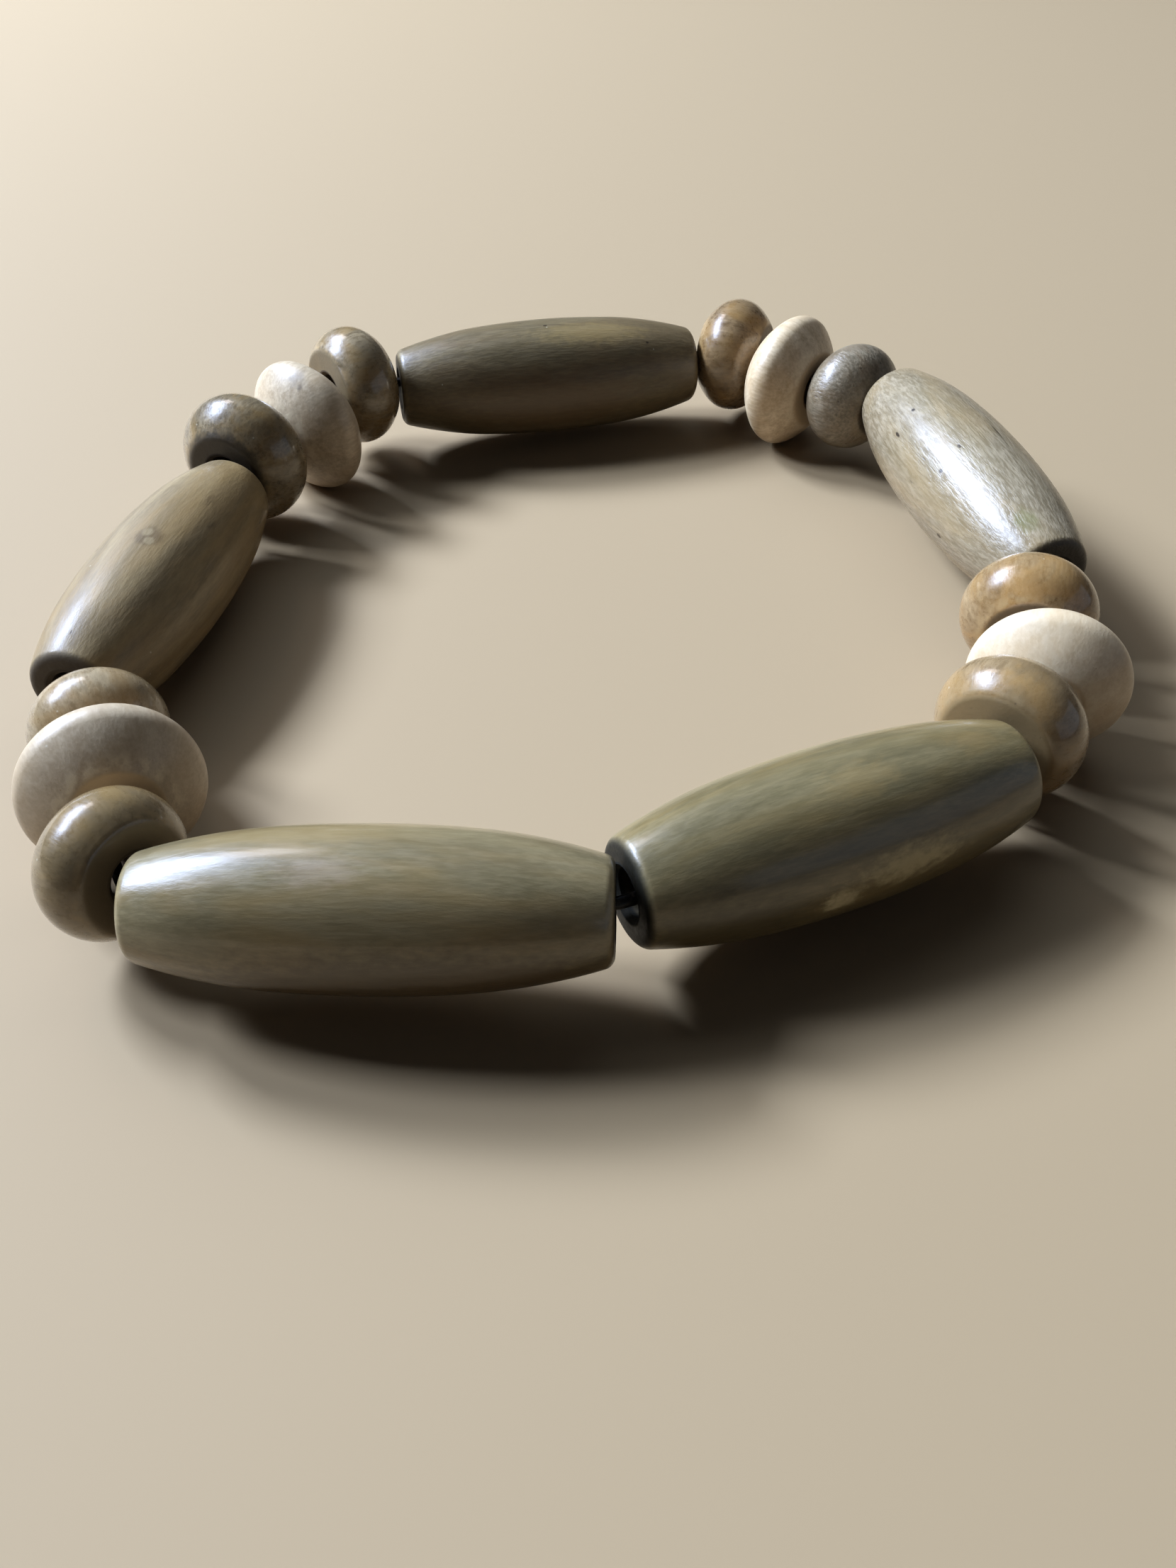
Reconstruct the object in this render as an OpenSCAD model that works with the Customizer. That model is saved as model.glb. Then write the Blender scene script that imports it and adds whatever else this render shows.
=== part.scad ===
// Wooden bead bracelet: seventeen turned beads, each drilled through, on one closed loop of thin
// elastic, lying flat. Long oval beads alternate with sets of three small ones: a short round
// bead, a disc and a second round bead.
// Frame: millimetres, Z up, X to the right, Y to the back. The origin is the middle of the
// bracelet at the level of the surface that it lies on.

/* [Bracelet] */
// Width of the whole bracelet from side to side; every piece keeps its proportion to it
bracelet_w = 76; // [60:1:90]

/* [Beads] */
// Length of a long bead
long_l = 28; // [27:0.1:28]
// Diameter of a long bead at its middle
long_d = 10; // [9:0.1:10]
// Length of a short round bead
round_l = 5.8; // [5.4:0.1:5.8]
// Diameter of a short round bead
round_d = 10; // [9:0.1:10]
// Length of a disc bead along its hole
disc_l = 6; // [5.6:0.1:6]
// Diameter of a disc bead
disc_d = 12; // [11:0.1:12]

/* [Holes and thread] */
// Diameter of the hole drilled through every bead
hole_d = 3; // [2.8:0.1:3.2]
// Width of the bevel round both mouths of a hole
mouth_bevel = 0.3; // [0.1:0.1:0.5]
// Diameter of the elastic thread
thread_d = 0.8; // [0.6:0.1:1]
// Space left between the thread and the wall of a hole
thread_gap = 0.1; // [0.1:0.05:0.2]

/* [Hidden] */

// Places are given for a bracelet this wide
drawn_w = 76;

// Colours of the woods and the thread
OLIVE = [0.36, 0.30, 0.18];
HONEY = [0.58, 0.36, 0.17];
GREY_BROWN = [0.45, 0.37, 0.30];
PALE = [0.85, 0.76, 0.64];
DARK = [0.08, 0.07, 0.07];

// The three kinds of bead. Each outline runs from the middle of the bead to its flat end in three
// arcs, each tangent to the next: a waist arc, a shoulder arc and a small rim arc.
LONG = 0;
ROUND = 1;
DISC = 2;
// Columns: length, diameter, radius of the waist arc, angle it turns through, radius of the
// shoulder arc, radius of the rim arc
KINDS = [
    [long_l,  long_d,  70,  5,  35,  0.8],
    [round_l, round_d, 2.8, 40, 6,   0.9],
    [disc_l,  disc_d,  1.5, 40, 7.5, 0.6]
];
LENGTH = 0;
DIAMETER = 1;
WAIST_R = 2;
WAIST_TURN = 3;
SHOULDER_R = 4;
RIM_R = 5;
// Tight arcs stand this far proud of a true tangent, so that each pair crosses cleanly
overlap = 0.0003;

// One row for each bead, counter-clockwise seen from above, from the one at the front left.
// The beads were turned by hand, so each differs a little from its kind in length and diameter.
// The discs stand on the surface and hold the others just above it.
// Columns: kind, place of its middle in x and y, height of its middle, the way its hole points in
// degrees counter-clockwise from X, rise of the hole in degrees, extra length, extra diameter
BEADS = [
    [LONG,  -11.8, -36.1, 6.8, 358,  1, -0.5, -0.2],
    [LONG,   14.9, -29.0, 6.0,  24, -1, -0.8,  0.2],
    [ROUND,  28.3, -19.1, 5.7,  52,  2, -1.0,  0.3],
    [DISC,   32.1, -13.9, 5.6,  72,  0,  0.0, -0.8],
    [ROUND,  32.4,  -6.9, 6.1,  76,  3,  0.0, -0.2],
    [LONG,   31.3,  10.6, 7.0, 105,  2, -0.3,  0.0],
    [ROUND,  24.6,  27.1, 6.3, 127, -1,  0.6, -0.6],
    [DISC,   19.4,  31.2, 5.9, 140,  0, -0.4, -0.2],
    [ROUND,  14.7,  36.1, 6.2, 158, -2,  0.2,  0.2],
    [LONG,   -3.2,  32.5, 5.9, 192,  1, -0.2,  0.2],
    [ROUND, -20.8,  28.7, 6.9, 218,  2, -0.6,  0.4],
    [DISC,  -24.3,  22.9, 5.9, 233, -5,  0.2, -0.2],
    [ROUND, -28.6,  16.5, 6.3, 248,  0,  0.6,  1.1],
    [LONG,  -31.9,  -1.4, 5.6, 258,  1,  0.0,  0.0],
    [ROUND, -31.9, -18.9, 5.6, 293,  0, -0.2, -0.8],
    [DISC,  -29.5, -24.9, 5.9, 293,  8,  0.0, -0.2],
    [ROUND, -27.7, -31.7, 6.1, 321,  6, -1.0, -0.4]
];
KIND = 0;
PLACE = [1, 2, 3];
TURN = 4;
RISE = 5;
EXTRA_L = 6;
EXTRA_D = 7;
count = len(BEADS);

function bead_at(i) = BEADS[(i + count) % count];
function length_of(b) = KINDS[b[KIND]][LENGTH] + b[EXTRA_L];
function diameter_of(b) = KINDS[b[KIND]][DIAMETER] + b[EXTRA_D];
function middle_of(b) = [for (column = PLACE) b[column]];
function way_of(b) = [
    cos(b[TURN]) * cos(b[RISE]),
    sin(b[TURN]) * cos(b[RISE]),
    sin(b[RISE])
];

// Middles of the two mouths of a bead's hole
function near_mouth(b) = middle_of(b) - way_of(b) * length_of(b) / 2;
function far_mouth(b) = middle_of(b) + way_of(b) * length_of(b) / 2;

// Neighbouring holes don't line up, so the thread leaves each hole on the side nearer to the next.
// It keeps thread_gap clear of the wall of the hole.
sway = (hole_d - thread_d) / 2 - thread_gap;
function unit(v) = v / norm(v);
function across(v, way) = v - way * (v * way);
function no_longer_than(v, most) = norm(v) > most ? unit(v) * most : v;
function pull(from, to, way) = from + no_longer_than(across(to - from, way) / 2, sway);
function leaves(i) = pull(far_mouth(bead_at(i)), near_mouth(bead_at(i + 1)), way_of(bead_at(i)));
function enters(i) = pull(near_mouth(bead_at(i)), far_mouth(bead_at(i - 1)), way_of(bead_at(i)));

// The route goes in and out of every bead, with each corner cut short so that the thread curves
corner_share = 0.15;
function cut(corner, toward, short) = corner + unit(toward - corner) * short;
function joint_points(i) =
    let (out = leaves(i), in = enters(i + 1), short = norm(in - out) * corner_share) [
        cut(out, enters(i), short),
        cut(out, in, short),
        cut(in, out, short),
        cut(in, leaves(i + 1), short)
    ];
route = [for (i = [0 : count - 1]) each joint_points(i)];

// Rings of points round the route, and the faces between them
sides = 8;
rings = len(route);
function route_at(i) = route[(i + rings) % rings];
function heading(i) = unit(unit(route_at(i + 1) - route_at(i)) + unit(route_at(i) - route_at(i - 1)));
function ring(i) =
    let (level = unit(cross([0, 0, 1], heading(i))), upright = cross(heading(i), level)) [
        for (s = [0 : sides - 1])
            route_at(i) + (level * cos(s * 360 / sides) + upright * sin(s * 360 / sides)) * thread_d / 2
    ];
thread_points = [for (i = [0 : rings - 1]) each ring(i)];
thread_faces = [
    for (i = [0 : rings - 1], s = [0 : sides - 1])
        let (next = (i + 1) % rings, beside = (s + 1) % sides) [
            i * sides + s,
            next * sides + s,
            next * sides + beside,
            i * sides + beside
        ]
];

// To a thousandth of a millimetre, so that bands of an outline that share an edge share it exactly
function neat(v) = round(v * 1000) / 1000;

// Everything follows the bracelet's width
module to_size()
    scale(bracelet_w / drawn_w)
        children();

// Half of a bead's outline, from the hole outwards, with the hole along Y
module outline(length, diameter, kind) {
    waist_x = diameter / 2 - kind[WAIST_R];
    shift = kind[WAIST_R] - kind[SHOULDER_R];
    shoulder_x = waist_x + shift * cos(kind[WAIST_TURN]);
    shoulder_y = shift * sin(kind[WAIST_TURN]);
    waist_end = neat(kind[WAIST_R] * sin(kind[WAIST_TURN]));
    rim_y = length / 2 - kind[RIM_R];
    reach = kind[SHOULDER_R] - kind[RIM_R];
    rim_x = shoulder_x + sqrt(pow(reach, 2) - pow(rim_y - shoulder_y, 2));
    shoulder_end = neat(rim_y + kind[RIM_R] * (rim_y - shoulder_y) / reach);
    past_end = length / 2 + 1;
    difference() {
        intersection() {
            translate([0, -length / 2])
                square([diameter, length]);
            arc([waist_x, 0], kind[WAIST_R], -waist_end, waist_end, shift < 0);
            intersection_for(end = [0, 1])
                mirror([0, end])
                    intersection() {
                        arc([shoulder_x, shoulder_y], kind[SHOULDER_R], waist_end, past_end, shift > 0);
                        arc([rim_x, rim_y], kind[RIM_R], shoulder_end, past_end, true);
                    }
        }
        translate([-1, -length])
            square([1 + hole_d / 2, 2 * length]);
        for (end = [0, 1])
            mirror([0, end])
                mouth(length / 2);
    }
}

// What one arc of the outline leaves standing. A tight arc only cuts between two heights; an arc
// that is gentler than its neighbours cuts everywhere, as it lies outside theirs.
module arc(centre, r, from, to, tight) {
    wide = 100;
    translate(centre)
        circle(tight ? r + overlap : r, $fn = 360);
    if (tight) {
        translate([0, from])
            square([max(centre[0], 0.01), to - from]);
        translate([0, from - wide])
            square([wide, wide]);
        if (to < -from + 0.01)
            translate([0, to])
                square([wide, wide]);
    }
}

// The bevel at one mouth of a hole
module mouth(end)
    polygon([
        [hole_d / 2 - mouth_bevel, end - 2 * mouth_bevel],
        [hole_d / 2 + 2 * mouth_bevel, end + mouth_bevel],
        [hole_d / 2 - mouth_bevel, end + mouth_bevel]
    ]);

// One turned and drilled bead, in its place on the thread
module bead(number) {
    b = bead_at(number);
    to_size()
        translate(middle_of(b))
            rotate([0, 90 - b[RISE], b[TURN]])
                rotate_extrude($fn = 96)
                    outline(length_of(b), diameter_of(b), KINDS[b[KIND]]);
}

module long_bead_1()
    color(OLIVE) bead(0);

module long_bead_2()
    color(OLIVE) bead(1);

module round_bead_1()
    color(HONEY) bead(2);

module disc_bead_1()
    color(PALE) bead(3);

module round_bead_2()
    color(HONEY) bead(4);

module long_bead_3()
    color(OLIVE) bead(5);

module round_bead_3()
    color(GREY_BROWN) bead(6);

module disc_bead_2()
    color(PALE) bead(7);

module round_bead_4()
    color(HONEY) bead(8);

module long_bead_4()
    color(OLIVE) bead(9);

module round_bead_5()
    color(HONEY) bead(10);

module disc_bead_3()
    color(PALE) bead(11);

module round_bead_6()
    color(HONEY) bead(12);

module long_bead_5()
    color(OLIVE) bead(13);

module round_bead_7()
    color(HONEY) bead(14);

module disc_bead_4()
    color(PALE) bead(15);

module round_bead_8()
    color(HONEY) bead(16);

module elastic_thread()
    color(DARK)
        to_size()
            polyhedron(thread_points, thread_faces);

long_bead_1();
long_bead_2();
round_bead_1();
disc_bead_1();
round_bead_2();
long_bead_3();
round_bead_3();
disc_bead_2();
round_bead_4();
long_bead_4();
round_bead_5();
disc_bead_3();
round_bead_6();
long_bead_5();
round_bead_7();
disc_bead_4();
round_bead_8();
elastic_thread();
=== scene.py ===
# %% [markdown]
# A stretch bracelet of turned wooden beads
#
# Seventeen beads sit on one loop of thin dark elastic: five long oval beads stained olive, eight short
# round beads in honey varnish (one of them grey and dull), and four wide pale discs without stain.
# The solid model gives the place and size of every bead. This lesson dresses it: each bead is turned
# again with a softer surface, gets wood that follows its own grain, and is lit as if by one window.

# %% Load the fixed frame
import math
import bpy
from mathutils import Matrix, Vector


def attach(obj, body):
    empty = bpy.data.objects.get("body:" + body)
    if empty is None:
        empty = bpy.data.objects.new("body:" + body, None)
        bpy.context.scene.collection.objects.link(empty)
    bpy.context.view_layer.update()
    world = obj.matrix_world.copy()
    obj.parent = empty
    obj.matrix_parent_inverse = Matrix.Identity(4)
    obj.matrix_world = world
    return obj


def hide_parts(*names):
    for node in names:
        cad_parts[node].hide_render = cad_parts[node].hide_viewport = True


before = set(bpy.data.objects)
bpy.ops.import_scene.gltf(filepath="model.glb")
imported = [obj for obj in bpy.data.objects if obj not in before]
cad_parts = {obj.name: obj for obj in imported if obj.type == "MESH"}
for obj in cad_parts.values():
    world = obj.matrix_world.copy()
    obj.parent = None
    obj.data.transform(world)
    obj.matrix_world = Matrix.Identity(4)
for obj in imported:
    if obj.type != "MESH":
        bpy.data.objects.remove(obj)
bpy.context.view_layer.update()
MM = 0.001

# %% [markdown]
# The camera
#
# The photograph was taken close up and from above the near side, so the near beads look much larger
# than the far ones. Only a camera at the real distance gives that, about 109 mm from the middle.
# Its place and tilt are real measures. The lens follows from how wide the scene looks in an upright
# picture: its focal length is given in pixels of that picture, and the sensor turns it into millimetres.

# %% Place the camera
PICTURE_HEIGHT, FOCAL_PIXELS = 2212, 1933
SENSOR = 36
EYE = Vector((0.40, -88.65, 63.8)) * MM
LOOKS_DOWN, LEANS = math.radians(42.15), math.radians(-0.31)
NEAREST_SEEN = 5 * MM

bpy.ops.object.camera_add()
camera = bpy.context.object
camera.name = "camera"
camera.matrix_world = (Matrix.Translation(EYE) @ Matrix.Rotation(math.pi / 2 - LOOKS_DOWN, 4, "X")
                       @ Matrix.Rotation(LEANS, 4, "Z"))
camera.data.sensor_width = SENSOR
camera.data.lens = SENSOR * FOCAL_PIXELS / PICTURE_HEIGHT
camera.data.clip_start = NEAREST_SEEN
bpy.context.scene.camera = camera
print("camera", round(EYE.length / MM), "mm from the middle, lens", round(camera.data.lens, 1), "mm")

# %% [markdown]
# The three outlines
#
# A wood turner cuts a bead from a stick that spins, so its shape is one outline carried round the bore.
# All three kinds use the same cuts: a waist arc in the middle, a shoulder arc on both sides of it, a small
# rounded rim, a flat end and a drilled hole with a bevelled mouth. The long bead has very flat arcs. The
# disc has a tight arc at its waist, which makes its edge, and two gently domed faces. Each arc starts in
# the direction in which the one before it ends, so only the sizes have to be given.

# %% Sizes in millimetres
HOLE = 1.5                    # radius
MOUTH_BEVEL = 0.3
KINDS = {                     # length, diameter, waist arc, degrees it turns, shoulder arc, rim arc
    "long": (28, 10, 70, 5, 35, 0.8),
    "round": (5.8, 10, 2.8, 40, 6, 0.9),
    "disc": (6, 12, 1.5, 40, 7.5, 0.6),
}
ARC_STEPS = {                 # steps in the waist arc, the shoulder arc and the rim arc
    "long": (7, 8, 6),
    "round": (6, 9, 5),
    "disc": (7, 9, 4),
}
BEADS = [                     # node, kind, x, y, height, turn, rise, extra length, extra diameter
    ("long_bead_1", "long", -11.8, -36.1, 6.8, 358, 1, -0.5, -0.2),
    ("long_bead_2", "long", 14.9, -29.0, 6.0, 24, -1, -0.8, 0.2),
    ("round_bead_1", "round", 28.3, -19.1, 5.7, 52, 2, -1.0, 0.3),
    ("disc_bead_1", "disc", 32.1, -13.9, 5.6, 72, 0, 0.0, -0.8),
    ("round_bead_2", "round", 32.4, -6.9, 6.1, 76, 3, 0.0, -0.2),
    ("long_bead_3", "long", 31.3, 10.6, 7.0, 105, 2, -0.3, 0.0),
    ("round_bead_3", "round", 24.6, 27.1, 6.3, 127, -1, 0.6, -0.6),
    ("disc_bead_2", "disc", 19.4, 31.2, 5.9, 140, 0, -0.4, -0.2),
    ("round_bead_4", "round", 14.7, 36.1, 6.2, 158, -2, 0.2, 0.2),
    ("long_bead_4", "long", -3.2, 32.5, 5.9, 192, 1, -0.2, 0.2),
    ("round_bead_5", "round", -20.8, 28.7, 6.9, 218, 2, -0.6, 0.4),
    ("disc_bead_3", "disc", -24.3, 22.9, 5.9, 233, -5, 0.2, -0.2),
    ("round_bead_6", "round", -28.6, 16.5, 6.3, 248, 0, 0.6, 1.1),
    ("long_bead_5", "long", -31.9, -1.4, 5.6, 258, 1, 0.0, 0.0),
    ("round_bead_7", "round", -31.9, -18.9, 5.6, 293, 0, -0.2, -0.8),
    ("disc_bead_4", "disc", -29.5, -24.9, 5.9, 293, 8, 0.0, -0.2),
    ("round_bead_8", "round", -27.7, -31.7, 6.1, 321, 6, -1.0, -0.4),
]


def arc_points(along, out, radius, first, last, steps):
    """Points on an arc, as (distance along the bead, distance from its bore)."""
    angles = [first + (last - first) * i / steps for i in range(steps + 1)]
    return [(along + radius * math.sin(a), out + radius * math.cos(a)) for a in angles]


def half_section(kind, extra_length, extra_diameter):
    """The closed outline of half a bead, from its waist round the bore and back."""
    length, diameter, waist, turn, shoulder, rim = KINDS[kind]
    waist_steps, shoulder_steps, rim_steps = ARC_STEPS[kind]
    half, turn = (length + extra_length) / 2, math.radians(turn)
    waist_out = (diameter + extra_diameter) / 2 - waist
    shoulder_along = (waist - shoulder) * math.sin(turn)
    shoulder_out = waist_out + (waist - shoulder) * math.cos(turn)
    rim_along = half - rim
    rim_out = shoulder_out + math.sqrt((shoulder - rim) ** 2 - (rim_along - shoulder_along) ** 2)
    meet = math.atan2(rim_along - shoulder_along, rim_out - shoulder_out)
    right = arc_points(0, waist_out, waist, 0, turn, waist_steps)
    right += arc_points(shoulder_along, shoulder_out, shoulder, turn, meet, shoulder_steps)[1:]
    right += arc_points(rim_along, rim_out, rim, meet, math.pi / 2, rim_steps)[1:]
    mouth = HOLE + MOUTH_BEVEL
    right += [(half, (rim_out + mouth) / 2), (half, mouth), (half - MOUTH_BEVEL, HOLE), (half / 2, HOLE)]
    left = [(-along, out) for along, out in reversed(right[1:])]
    return right + [(0, HOLE)] + left


for kind in KINDS:
    print(kind, "outline:", len(half_section(kind, 0, 0)), "points")

# %% [markdown]
# Turning a bead
#
# The outline starts as a mesh circle whose points are moved onto the cuts. Spin carries it round the
# bore in 96 steps, as the lathe does. The last step lands on the first, so the doubles are merged and the
# faces are turned outwards. Before the bead is laid in its place on the thread, the place of every point
# on the bead is kept as an attribute called `bead_place`: millimetres along the bore and across it. The
# wood reads this, so the grain runs along each bead whichever way that bead lies.

# %% Helpers for one bead
SPIN_STEPS = 96
DOUBLES = 0.002 * MM


def deselect():
    if bpy.context.object and bpy.context.object.mode != "OBJECT":
        bpy.ops.object.mode_set(mode="OBJECT")
    bpy.ops.object.select_all(action="DESELECT")


def ring_of_points(name, places):
    """A mesh circle with its points moved to the given places, in millimetres."""
    deselect()
    bpy.ops.mesh.primitive_circle_add(vertices=len(places), radius=MM)
    piece = bpy.context.object
    piece.name = name
    for point, place in zip(piece.data.vertices, places):
        point.co = Vector(place) * MM
    return piece


def merge_and_face_outwards():
    bpy.ops.mesh.select_all(action="SELECT")
    bpy.ops.mesh.remove_doubles(threshold=DOUBLES)
    bpy.ops.mesh.normals_make_consistent(inside=False)
    bpy.ops.object.mode_set(mode="OBJECT")


def turned_bead(name, outline):
    bead = ring_of_points(name, [(along, out, 0) for along, out in outline])
    bpy.ops.object.mode_set(mode="EDIT")
    bpy.ops.mesh.select_all(action="SELECT")
    bpy.ops.mesh.spin(steps=SPIN_STEPS, angle=2 * math.pi, center=(0, 0, 0), axis=(1, 0, 0))
    merge_and_face_outwards()
    return bead


def keep_place(piece, name):
    """Stores each point's present place, in millimetres, as an attribute that materials can read."""
    kept = piece.data.attributes.new(name, "FLOAT_VECTOR", "POINT")
    kept.data.foreach_set("vector", [c / MM for v in piece.data.vertices for c in v.co])


print("a bead is spun in", SPIN_STEPS, "steps")

# %% [markdown]
# A sanded bead is never a perfect solid of turning. A Displace modifier pulls the surface in by up to
# 0.05 mm in slow waves, which is enough to make a highlight waver. It only pulls inwards, so no bead grows
# into its neighbour. It is applied after the bead is in place, so every bead gets waves of its own.

# %% Lay the beads on the thread
SANDING, WAVE_SIZE = 0.05 * MM, 4.5 * MM
SHARP_EDGE = math.radians(35)
waves = bpy.data.textures.new("hand sanding", "CLOUDS")
waves.noise_scale, waves.noise_depth = WAVE_SIZE, 1


def lay_bead(bead, x, y, height, turn, rise):
    place = Matrix.Translation(Vector((x, y, height)) * MM)
    lie = Matrix.Rotation(math.radians(turn), 4, "Z") @ Matrix.Rotation(math.radians(-rise), 4, "Y")
    bead.matrix_world = place @ lie
    deselect()
    bead.select_set(True)
    bpy.context.view_layer.objects.active = bead
    bpy.ops.object.transform_apply(location=True, rotation=True, scale=True)
    sanded = bead.modifiers.new("sanding", "DISPLACE")
    sanded.texture, sanded.texture_coords = waves, "LOCAL"
    sanded.mid_level, sanded.strength = 0, -SANDING
    bpy.ops.object.modifier_apply(modifier="sanding")
    bpy.ops.object.shade_smooth_by_angle(angle=SHARP_EDGE)


beads, half_lengths = {}, {}
for name, kind, x, y, height, turn, rise, more_length, more_diameter in BEADS:
    bead = turned_bead(name + "_wood", half_section(kind, more_length, more_diameter))
    keep_place(bead, "bead_place")
    lay_bead(bead, x, y, height, turn, rise)
    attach(bead, "root")
    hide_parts(name)
    beads[name], half_lengths[name] = bead, (KINDS[kind][0] + more_length) / 2
print(len(beads), "beads,", sum(len(b.data.polygons) for b in beads.values()), "faces")

# %% [markdown]
# The elastic
#
# The thread shows only in the V-shaped gaps between beads, where it goes from one mouth to the next in a
# straight, tight line and bends inside the hole. Its route is found from the beads: out of each mouth
# pulled a little towards the next one, as far as the hole lets it. A mesh circle is opened into that route,
# turned into a curve, given its thickness and made a mesh again.

# %% Route and thickness of the thread
THREAD = 0.8
WALL_ROOM = 0.1
SWAY = HOLE - THREAD / 2 - WALL_ROOM
BEND = 0.15                   # where the thread bends near a mouth, as a share of the way to the next mouth


def mouths(name, x, y, height, turn, rise):
    """Both mouths of a bead and its direction, in millimetres."""
    turn, rise = math.radians(turn), math.radians(rise)
    way = Vector((math.cos(turn) * math.cos(rise), math.sin(turn) * math.cos(rise), math.sin(rise)))
    middle = Vector((x, y, height))
    return middle - way * half_lengths[name], middle + way * half_lengths[name], way


def pulled(mouth, other, way):
    """The mouth's middle, drawn sideways towards the other mouth by half their offset, within the hole."""
    side = (other - mouth) - (other - mouth).dot(way) * way
    return mouth + side * min(0.5, SWAY / max(side.length, 0.001))


holes = [mouths(row[0], *row[2:7]) for row in BEADS]
route = []
for (_, leave, way), (enter, _, next_way) in zip(holes, holes[1:] + holes[:1]):
    out, into = pulled(leave, enter, way), pulled(enter, leave, next_way)
    stretch = into - out
    route += [out - way * BEND * stretch.length, out + stretch * BEND, into - stretch * BEND,
              into + next_way * BEND * stretch.length]
print("thread loop", round(sum((a - b).length for a, b in zip(route, route[1:] + route[:1])), 1), "mm")

# %% Make the thread
ROUNDNESS = 4
thread = ring_of_points("elastic_strand", route)
bpy.ops.object.convert(target="CURVE")
thread.data.bevel_depth, thread.data.bevel_resolution = THREAD / 2 * MM, ROUNDNESS
thread.data.use_fill_caps = False
bpy.ops.object.convert(target="MESH")
bpy.ops.object.mode_set(mode="EDIT")
merge_and_face_outwards()
bpy.ops.object.shade_smooth()
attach(thread, "root")
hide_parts("elastic_thread")
print("thread:", len(thread.data.polygons), "faces")

# %% [markdown]
# Building blocks for wood
#
# A few helpers keep the node work short. They add a shader node and wire it, mix two colours, do a sum,
# read a soft noise, cut a soft step out of a value and open a node group. The effects that all the woods
# share are node groups. Each reads `Place`, the point's place on its own bead in millimetres, and puts out
# plain masks between 0 and 1.

# %% Node helpers
def node(tree, kind, ins=None, **settings):
    made = tree.nodes.new("ShaderNode" + kind)
    for name, value in settings.items():
        setattr(made, name, value)
    for name, value in (ins or {}).items():
        if isinstance(value, bpy.types.NodeSocket):
            tree.links.new(value, made.inputs[name])
        else:
            made.inputs[name].default_value = value
    return made


def colour_mix(tree, amount, under, over):
    return node(tree, "Mix", {0: amount, 6: under, 7: over}, data_type="RGBA").outputs[2]


def maths(tree, what, *values):
    return node(tree, "Math", dict(enumerate(values)), operation=what).outputs[0]


def vector_maths(tree, what, *values):
    return node(tree, "VectorMath", dict(enumerate(values)), operation=what).outputs


def noise(tree, place, **values):
    """A soft pattern between 0 and 1 that reads the given place."""
    values = {name.title(): value for name, value in values.items()}
    return node(tree, "TexNoise", dict({"Vector": place, "Scale": 1.0}, **values)).outputs["Fac"]


def between(tree, value, low, high):
    """Turns the part of a value between low and high into a soft step from 0 to 1."""
    made = node(tree, "MapRange", {"Value": value, "From Min": low, "From Max": high},
                interpolation_type="SMOOTHSTEP")
    return made.outputs["Result"]


def new_group(name, inputs, outputs):
    """A node group with named sockets; inputs are (name, value), outputs are names of masks."""
    group = bpy.data.node_groups.new(name, "ShaderNodeTree")
    for label, value in inputs:
        kind = "NodeSocketVector" if isinstance(value, tuple) else "NodeSocketFloat"
        group.interface.new_socket(name=label, in_out="INPUT", socket_type=kind).default_value = value
    for label in outputs:
        group.interface.new_socket(name=label, in_out="OUTPUT", socket_type="NodeSocketFloat")
    return group, group.nodes.new("NodeGroupInput").outputs, group.nodes.new("NodeGroupOutput").inputs


def stretched(tree, place, along, across, seed):
    """The place on the bead, stretched along the grain and moved by a seed."""
    sized = vector_maths(tree, "MULTIPLY", place, (along, across, across))[0]
    moved = node(tree, "CombineXYZ", {0: seed, 1: maths(tree, "MULTIPLY", seed, 1.7), 2: seed})
    return vector_maths(tree, "ADD", sized, moved.outputs[0])[0]


def distance(tree, first, second):
    """The length of a step of two given parts at right angles."""
    squares = maths(tree, "MULTIPLY", first, first), maths(tree, "MULTIPLY", second, second)
    return maths(tree, "SQRT", maths(tree, "ADD", *squares))


HERE = ("Place", (0.0, 0.0, 0.0))
SEED = ("Seed", 0.0)
print("each group reads", HERE[0], "and", SEED[0])

# %% [markdown]
# Grain. Wood is a bundle of fibres, in rings that the tree lays down each year. On a bead turned along
# the fibres, fine streaks run from end to end, and the rings show as slow bands that close into long ovals
# where the barrel cuts them. The streaks are a noise drawn out along the bore. The rings are a wave of
# the distance from the tree's heart, which lies outside the bead, about a centimetre from its bore.

# %% Grain group
RINGS_WANDER = 2.6            # how far the slow bands push the rings about, mm


def make_grain():
    settings = [HERE, SEED, ("Ring Width", 1.3), ("Heart Y", 9.0), ("Heart Z", 4.0)]
    group, ins, outs = new_group("grain", settings, ["Fibres", "Rings", "Bands"])
    fine_place = stretched(group, ins["Place"], 0.75, 4.6, ins["Seed"])
    fine = noise(group, fine_place, detail=4.0, roughness=0.6)
    group.links.new(between(group, fine, 0.36, 0.66), outs["Fibres"])
    slow_place = stretched(group, ins["Place"], 0.05, 0.33, ins["Seed"])
    slow = noise(group, slow_place, detail=2.0, roughness=0.5)
    group.links.new(between(group, slow, 0.34, 0.66), outs["Bands"])
    split = node(group, "SeparateXYZ", {0: ins["Place"]}).outputs
    aside = maths(group, "SUBTRACT", split[1], ins["Heart Y"])
    above = maths(group, "SUBTRACT", split[2], ins["Heart Z"])
    bent = maths(group, "MULTIPLY_ADD", slow, RINGS_WANDER, distance(group, aside, above))
    turns = maths(group, "MULTIPLY", maths(group, "DIVIDE", bent, ins["Ring Width"]), 2 * math.pi)
    group.links.new(maths(group, "MULTIPLY_ADD", maths(group, "SINE", turns), 0.5, 0.5), outs["Rings"])
    return group


GRAIN = make_grain()
print("grain group:", len(GRAIN.nodes), "nodes")

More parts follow.
